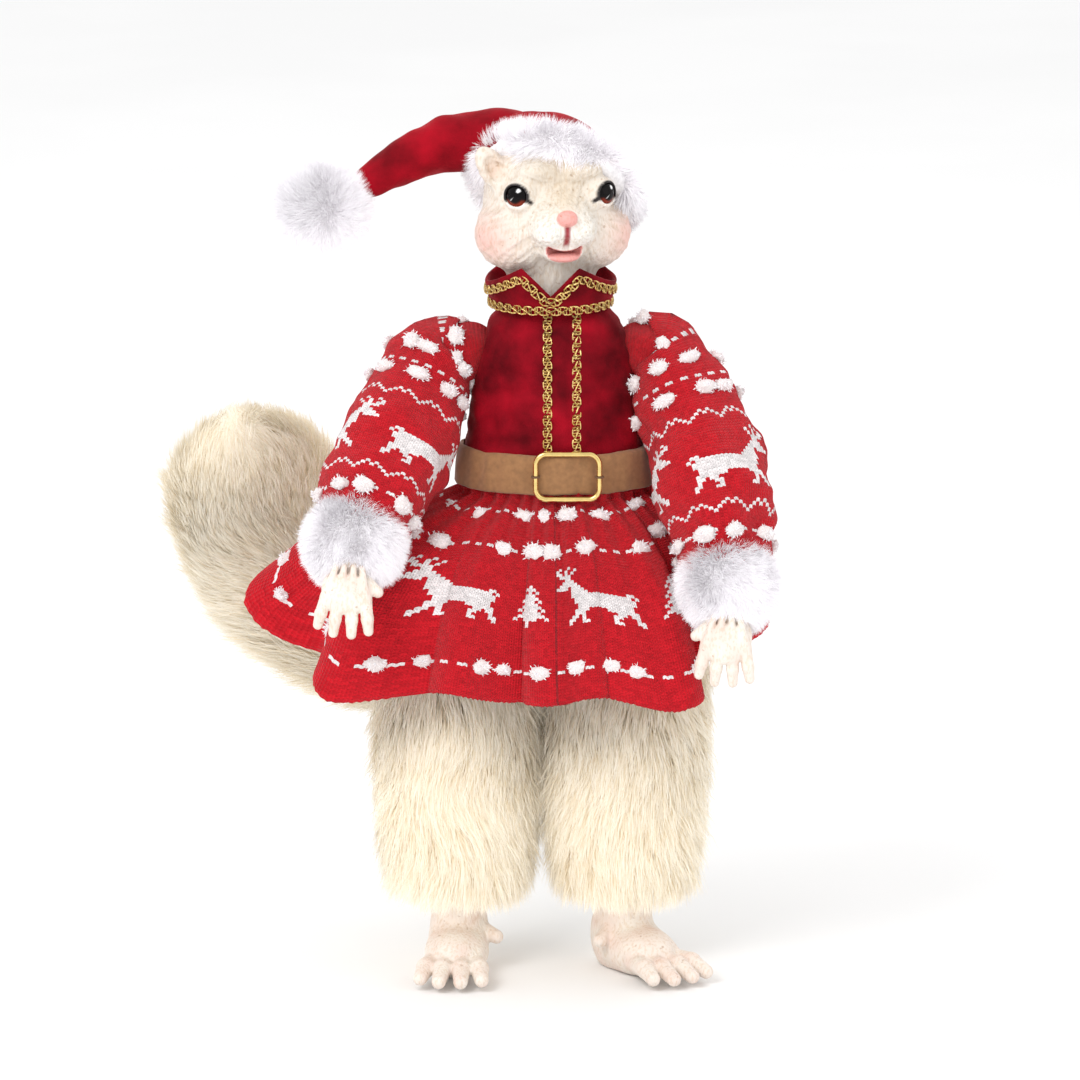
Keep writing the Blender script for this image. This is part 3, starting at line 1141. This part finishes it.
def eye_frame(side):
    """Middle, gaze, sideways and upward directions of an eye in the head's frame."""
    gaze = unit(EYE_GAZE * [side, 1, 1])
    across = unit(np.cross(gaze, [0, 0, 1.0]))
    return EYE_AT * [side, 1, 1], gaze, across, np.cross(across, gaze)


def eye_opening(points, side):
    """Places from an eye's middle: sideways, upward and along its gaze, and a ring value of 1 on its lid."""
    centre, gaze, across, up = eye_frame(side)
    offset = points - centre
    wide, high = offset @ across, offset @ up
    return wide, high, offset @ gaze, np.hypot(wide / EYE_OPENING[0], high / EYE_OPENING[1])


def mouth_field(points):
    """The open mouth: the lower part of an ellipsoid under a lip line that rises to the corners."""
    lip = MOUTH_LIP_Z + MOUTH_LIP_RISE * points[:, 0] ** 2
    return np.maximum(ball(points, MOUTH_AT, MOUTH_SIZE), points[:, 2] - lip)


def head_field(points):
    """The resin head: skull, cheeks, snout, muzzle, chin, lids, ear and neck, with mouth and lids opened."""
    both = (points, points * [-1, 1, 1])
    field = ball(points, SKULL_AT, SKULL_SIZE)
    field = melt(field, np.minimum(*(ball(p, CHEEK_AT, CHEEK_SIZE) for p in both)), 7.0)
    field = melt(field, ball(points, SNOUT_AT, SNOUT_SIZE), 7.0)
    field = melt(field, rod(points, NECK_LOW, NECK_HIGH, NECK_RADIUS, NECK_RADIUS), 6.0)
    field = melt(field, np.minimum(*(ball(p, BROW_AT, BROW_SIZE) for p in both)), 6.0)
    for side in (-1, 1):
        field = melt(field, ball(points, EYE_AT * [side, 1, 1], np.full(3, LID_RADIUS)), 3.0)
    field = melt(field, ball(points, CHIN_AT, CHIN_SIZE), 3.5)
    lobes = melt(*(ball(p, LOBE_AT, LOBE_SIZE) for p in both), 0.8)
    field = melt(field, lobes, 4.0)
    field = carve(field, mouth_field(points), 0.8)
    field = melt(field, ball(points, TONGUE_AT, TONGUE_SIZE), 0.8)
    field = carve(field, np.minimum(*(rod(p, SMILE_START, SMILE_END, *SMILE_RADII) for p in both)), 1.2)
    field = melt(field, ball(points, NOSE_AT, NOSE_SIZE), 1.2)
    for side in (-1, 1):
        _, _, depth, edge = eye_opening(points, side)
        shell = np.linalg.norm(points - EYE_AT * [side, 1, 1], axis=1)
        window = np.maximum.reduce([(edge - 1) * EYE_OPENING[1], -depth, SOCKET_RADIUS - shell])
        field = carve(field, window, 0.6)
    local = turned(points - np.array(EAR_AT), EAR_LEAN, 1)
    leaf = ball(local, (0, 0, 0), EAR_SIZE)
    leaf = carve(leaf, ball(local, EAR_HOLLOW_AT, EAR_HOLLOW_SIZE), 1.0)
    return melt(field, leaf, 2.5)


def blob(points, centre, radius):
    """A soft round mask."""
    return np.exp(-(((points - np.asarray(centre, float)) / radius) ** 2).sum(axis=1))


def over(colours, colour, mask):
    return colours + (np.asarray(colour) - colours) * np.clip(mask, 0, 1)[:, None]


def step_mask(value, low, high):
    """0 under low, 1 over high and smooth between."""
    share = np.clip((value - low) / (high - low), 0, 1)
    return share * share * (3 - 2 * share)


def wing_distance(places):
    """Distance from the short line that carries the lashes past an eye's corner."""
    start, end = np.array(LASH_WING)
    share = np.clip((places - start) @ (end - start) / ((end - start) ** 2).sum(), 0, 1)
    return np.linalg.norm(places - start - share[:, None] * (end - start), axis=1)


def head_colours(points):
    """Paint by place: tan wash, blush, white muzzle, lids, lips, nose and tongue."""
    colours = np.tile(CREAM_PAINT, (len(points), 1))
    mirrored = points * [-1, 1, 1]
    colours = over(colours, TAN_PAINT, 0.62 * blob(points, (0, -24, 20), (15, 16, 12)))
    colours = over(colours, SNOUT_PAINT, 0.45 * blob(points, (0, -33, 11), (6, 8, 8)))
    for side_points in (points, mirrored):
        colours = over(colours, BLUSH_PAINT, 0.62 * blob(side_points, (30, -13, -10), (12, 15, 10)))
        colours = over(colours, MUZZLE_PAINT, 0.95 * blob(side_points, (7, -36, -5), (8, 8, 7)))
    colours = over(colours, CHIN_PAINT, 0.8 * blob(points, (0, -33, -18), (10, 8, 4)))
    mouth = mouth_field(points)
    colours = over(colours, TONGUE_PAINT, 1 - step_mask(mouth, 0.25, 0.7))
    inside = (1 - step_mask(mouth, 0.1, 0.5)) * step_mask(-points[:, 1], -34.0, -28.0)
    under_lip = points[:, 2] - MOUTH_LIP_Z - MOUTH_LIP_RISE * points[:, 0] ** 2
    colours = over(colours, MOUTH_PAINT, inside * step_mask(under_lip, -1.2, -0.4))
    groove = (1 - step_mask(np.abs(points[:, 0]), 0.8, 1.7)) * step_mask(-points[:, 1], 34, 36)
    groove = groove * step_mask(points[:, 2], -12.8, -11.6) * (1 - step_mask(points[:, 2], -0.6, 0.4))
    colours = over(colours, GROOVE_PAINT, groove)
    nose = np.linalg.norm((points - NOSE_AT) / NOSE_SIZE, axis=1)
    colours = over(colours, NOSE_PAINT, 1 - step_mask(nose, 1.04, 1.16))
    for side in (-1, 1):
        wide, high, depth, edge = eye_opening(points, side)
        near = step_mask(depth, 0.0, 1.0)
        below = 1 - step_mask(high + 0.35 * np.abs(wide), -1.6, -0.2)
        colours = over(colours, LID_PAINT, (1 - step_mask(edge, 1.15, 1.5)) * below * near)
        wing = wing_distance(np.column_stack([np.abs(wide), high]))
        lash = (1 - step_mask(edge, 1.16, 1.30)) * (1 - below)
        lash = np.maximum(lash, 1 - step_mask(wing, LASH_HALF_WIDTH, 1.0))
        colours = over(colours, LASH_PAINT, lash * near)
    inner = blob(points, EAR_AT, (6, 6, 9)) * step_mask(points[:, 2], 14, 18)
    return over(colours, EAR_PAINT, 0.6 * inner * (points[:, 0] < -20))


def carved_fur(points):
    """Height of the carved fur lines, which run back from the nose and fade at nose, mouth and eyes."""
    offset = points - NOSE_AT
    reach = np.linalg.norm(offset, axis=1, keepdims=True)
    lines = waves(unit(offset) * FUR_LINE_SPREAD + FUR_LINE_DRIFT * reach, 2.2, 95, 12)
    smooth = np.maximum(1 - step_mask(mouth_field(points), 1.0, 3.0), 1 - step_mask(reach[:, 0], 5.5, 9.0))
    for side in (-1, 1):
        smooth = np.maximum(smooth, 1 - step_mask(eye_opening(points, side)[3], 1.5, 2.0))
    return FUR_LINE_DEPTH * lines * (1 - smooth)


def add_head():
    points, faces = surface_net(head_field, (-42, -46, -42), (40, 40, 42), 0.75)
    lines = carved_fur(points)
    stain = np.clip(-lines / FUR_LINE_DEPTH, 0, 1) * FUR_LINE_STAIN
    colours = over(head_colours(points), STAIN_PAINT, stain)
    carved = points + unit(field_slope(head_field, points)) * lines[:, None]
    mesh_object("head_paint", from_head(carved), faces, MATERIALS["resin"], "head",
                ("head_casting",), colours=colours)
    for name, side in SIDES:
        centre, gaze, across, up = eye_frame(side)
        grid = ball_grid(centre, np.full(3, EYE_RADIUS), gaze, 48, 48)
        flat = grid.reshape(-1, 3)
        ways = unit(flat - centre)
        angle = np.arccos(np.clip(ways @ gaze, -1, 1))
        colours = np.tile(PUPIL_PAINT, (len(flat), 1))
        rim = step_mask(angle, 0.46, 0.60) * (1 - step_mask(ways @ up, -0.42, -0.16))
        colours = over(colours, IRIS_PAINT, rim)
        for ahead, rise, aside, size in EYE_GLINTS:
            glint = np.linalg.norm(ways - unit(gaze * ahead + up * rise + across * aside), axis=1)
            colours = over(colours, GLINT_PAINT, 1 - step_mask(glint, 0.6 * size, size))
        mesh_object(f"{name}_eye_glass", from_head(flat), grid_faces(48, 48), MATERIALS["eyes"], "head",
                    (f"{name}_eye",), colours=colours)


def hat_field(points):
    """The hat's velvet over the skull, in the head's frame."""
    dome = ball(points, SKULL_AT + [0, 2, 1], SKULL_SIZE + HAT_VELVET)
    hump = ball(points, HAT_HUMP_AT, HAT_HUMP_SIZE)
    rim = turned(turned(points - HAT_BAND_AT, -HAT_BAND_TILT, 0), -HAT_BAND_ROLL, 1)[:, 2]
    return np.maximum(melt(dome, hump, 8.0), -rim) + 0.5 * waves(points, 17.0, 91)


def add_hat():
    points, faces = surface_net(hat_field, (-45, -35, -25), (40, 48, 50), 1.3)
    mesh_object("hat_crown_velvet", from_head(points), faces, MATERIALS["velvet_red"], "head",
                ("hat_crown",))
    line, ahead = smooth_line(np.column_stack([HAT_LINE, HAT_LINE_RADII]), 130)
    grid = rings(line[:, :3], ahead, line[:, 3], line[:, 3], 72, (0.0, 0.0, 1.0))
    outward = unit(grid - line[:, None, :3])
    creases = 0.6 * waves(grid, 30.0, 92) + 0.25 * waves(grid, 11.0, 93)
    creased = (grid + outward * creases[..., None]).reshape(-1, 3)
    tail = mesh_object("hat_tail_velvet", creased, grid_faces(130, 72), MATERIALS["velvet_red"], None,
                       ("hat_tail",))
    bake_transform(tail)
    clear = [(from_head(EYE_AT * [side, 1, 1]), EYE_CLEAR) for side in (-1, 1)]
    clear.append((from_head(np.array(EAR_AT)), EAR_CLEAR))
    add_short_pile("hat_band", "head", hat_band_grid(5.5), 40000, 9.5, 301, ("hat_band",), clear=clear)
    pompom = ball_grid(POMPOM_AT, np.full(3, POMPOM_RADIUS - 9.0), (0.0, 0.0, 1.0))
    add_short_pile("pompom", "hat_tip", pompom, 40000, 11.5, 311, ("pompom",), lean=0.12, curl=0.30)


def hand_frame(side_name):
    """Wrist place and directions across, out of the back of the hand and along the fingers."""
    points = (SHOULDERS[side_name], ELBOWS[side_name], WRISTS[side_name])
    at, ahead = arc_through(*points, [1.0])
    along = ahead[0]
    across = unit(np.array([1.0, 0, 0]) - along * along[0])
    return at[0], across, np.cross(along, across), along


def hand_field(side):
    """A resin hand in its own frame: Z to the fingers and Y out of its back."""
    palm_end = WRIST_REACH + PALM_LENGTH

    def field(points):
        shape = rod(points, (0, 0, -6), (0, 0, WRIST_REACH), WRIST_RADIUS, WRIST_RADIUS)
        palm_size = (PALM_HALF_WIDTH, PALM_HALF_THICKNESS, PALM_LENGTH * 0.52)
        palm = ball(points, (0, 0, WRIST_REACH + PALM_LENGTH * 0.58), palm_size)
        shape = melt(shape, palm, 6.0)
        for across, reach, fan in zip(FINGER_ACROSS_SHARES, FINGER_REACH_SHARES, FINGER_FANS):
            root = np.array([across * PALM_HALF_WIDTH, 0, palm_end - 5])
            lean = math.radians(fan)
            way = unit([math.sin(lean), -math.sin(FINGER_CURL), math.cos(lean)])
            knuckle = root + way * FINGER_LENGTH * reach * 0.62
            bent = unit(way + np.array([0, -0.55, 0]))
            tip = knuckle + bent * FINGER_LENGTH * reach * 0.42
            first = rod(points, root, knuckle, FINGER_ROOT_RADIUS, KNUCKLE_RADIUS)
            finger = melt(first, rod(points, knuckle, tip, KNUCKLE_RADIUS, FINGER_TIP_RADIUS), 0.9)
            ridge_start = root - way * 13 + np.array([0, 3.2, 0])
            ridge = rod(points, ridge_start, root + np.array([0, 1.2, 0]), 1.3, 2.0)
            shape = melt(melt(shape, ridge, 1.8), finger, 1.4)
        thumb_root = np.array([-side * PALM_HALF_WIDTH * 0.55, 1.0, WRIST_REACH + PALM_LENGTH * 0.36])
        thumb_tip = thumb_root + unit([-side * 0.75, -0.2, 0.55]) * 9.0
        return melt(shape, rod(points, thumb_root, thumb_tip, 3.1, 2.5), 1.6)

    return field


def paw_colours(points, seed):
    """Off-white paint with a little pink and a few brown specks in the hollows."""
    colours = np.tile(PAW_PAINT, (len(points), 1))
    return over(colours, PAW_PINK_PAINT, 0.30 + 0.25 * waves(points, 13.0, seed))


def add_hand(side_name, side, seed):
    points, faces = surface_net(hand_field(side), (-18, -20, -14), (18, 12, 58), 0.62)
    at, across, back, along = hand_frame(side_name)
    placed = at + points[:, :1] * across + points[:, 1:2] * back + points[:, 2:] * along
    mesh_object(f"{side_name}_hand_paint", placed, faces, MATERIALS["resin"], f"{side_name}_hand",
                (f"{side_name}_hand",), colours=paw_colours(points, seed))


def foot_field(side):
    """A resin foot in its own frame: toes towards -Y, the sole at Z 0."""
    def field(points):
        heel = ball(points, HEEL_AT, HEEL_SIZE)
        shape = melt(heel, ball(points, INSTEP_AT, INSTEP_SIZE), 6.0)
        shape = melt(shape, rod(points, (0, 0, 14), (0, 0, 40), 12.5, 12.5), 3.0)
        for across, reach, fan in TOES:
            root = np.array([across * TOE_SPREAD, -24.0, 7.5])
            lean = math.radians(fan)
            knuckle = root + np.array([math.sin(lean), -math.cos(lean), 0.02]) * TOE_LENGTH * reach
            tip = knuckle + np.array([math.sin(lean), -math.cos(lean), -0.28]) * TOE_TIP_LENGTH * reach
            toe = melt(rod(points, root, knuckle, 4.2, 4.3), rod(points, knuckle, tip, 4.2, 3.2), 1.0)
            ridge = rod(points, root + np.array([0, 16.0, 9.0]), root + np.array([0, 0, 3.0]), 2.0, 3.0)
            shape = melt(melt(shape, ridge, 2.4), toe, 1.5)
        inner_tip = np.array([-side * 17.5, -7.0, 15.0])
        shape = melt(shape, rod(points, (-side * 6.0, 0, 19), inner_tip, 4.2, 3.2), 2.0)
        return np.maximum(shape, -points[:, 2])

    return field


def add_foot(side_name, side, seed):
    points, faces = surface_net(foot_field(side), (-24, -56, -2), (24, 24, 54), 0.75)
    points[:, 2] = np.maximum(points[:, 2], 0.0)
    placed = turned(points, FOOT_TURNS[side_name], 2) + [HIP_XS[side_name], 0, 0]
    mesh_object(f"{side_name}_foot_paint", placed, faces, MATERIALS["resin"], f"{side_name}_foot",
                (f"{side_name}_foot",), colours=paw_colours(points, seed))


def add_cuff(side_name, seed):
    at, _, _, along = hand_frame(side_name)
    radii = np.array([CUFF_RADIUS - 7.0, CUFF_RADIUS - 7.0, CUFF_HALF_LENGTH - 6.0])
    grid = ball_grid(at, radii, along, low=-0.96, high=0.90)
    cuff = f"{side_name}_cuff"
    add_short_pile(cuff, f"{side_name}_arm", grid, 34000, 9.5, seed, (cuff,), 0.7 * along)


def dress_cad_nodes():
    """Finishes for the CAD nodes that stay in view or inside: buckle, tacks, wires and bars."""
    slots = {entry["node"]: entry["material_slot"] for entry in frame["record"]["subparts"]}
    for node, obj in frame["nodes"].items():
        obj.data.materials.clear()
        obj.data.materials.append(MATERIALS[slots[node]])


def add_stage():
    """A pale floor, soft lights and the photo's camera."""
    bpy.ops.mesh.primitive_plane_add(size=12.0, location=(0, 0, -0.0005))
    floor = bpy.context.object
    floor.name = "floor"
    pale = new_material("floor", (0.93, 0.93, 0.93), 0.9)
    paint(pale, ramp(pale, noise(pale, 3.0), [(0.4, (0.92,) * 3), (0.6, (0.94,) * 3)]))
    floor.data.materials.append(pale)
    world = bpy.data.worlds.new("studio")
    bpy.context.scene.world = world
    world.use_nodes = True
    world.node_tree.nodes["Background"].inputs["Color"].default_value = (1, 1, 1, 1)
    world.node_tree.nodes["Background"].inputs["Strength"].default_value = 1.0
    middle = Vector(to_row((0, 0, 200)))
    for name, place, size, power in (
        ("key", (-0.9, -1.3, 1.5), 0.9, 16.0),
        ("fill", (1.4, -1.0, 0.9), 1.4, 3.0),
        ("rim", (0.3, 1.4, 1.5), 1.2, 3.5),
    ):
        lamp = bpy.data.lights.new(name, "AREA")
        lamp.energy = power
        lamp.size = size
        holder = bpy.data.objects.new(name, lamp)
        holder.location = place
        holder.rotation_euler = (middle - Vector(place)).to_track_quat("-Z", "Y").to_euler()
        bpy.context.scene.collection.objects.link(holder)


CAMERA_TARGET = (-6.75, 0.0, 197.0)
CAMERA_DISTANCE = 4048.0
CAMERA_RISE = math.radians(12.0)
CAMERA_LENS = 300.0


def add_camera():
    camera = bpy.data.cameras.new("camera")
    camera.lens = CAMERA_LENS
    camera.sensor_width = 36.0
    camera.dof.use_dof = False
    holder = bpy.data.objects.new("camera", camera)
    target = np.array(CAMERA_TARGET)
    back = np.array([0, -math.cos(CAMERA_RISE), math.sin(CAMERA_RISE)]) * CAMERA_DISTANCE
    holder.location = to_row(target + back)
    holder.rotation_euler = Vector(-back).to_track_quat("-Z", "Y").to_euler()
    bpy.context.scene.collection.objects.link(holder)
    bpy.context.scene.camera = holder
    bpy.context.scene.view_settings.view_transform = "Standard"


add_stage()
add_camera()
dress_cad_nodes()
add_bodice()
add_collar()
add_braids()
add_belt()
add_skirt()
add_head()
add_hat()
add_tail(500)
for index, (side_name, side) in enumerate(SIDES):
    add_sleeve(side_name, side, 100 + 10 * index)
    add_cuff(side_name, 200 + 10 * index)
    add_hand(side_name, side, 220 + 10 * index)
    add_leg(side_name, 400 + 10 * index)
    add_foot(side_name, side, 440 + 10 * index)
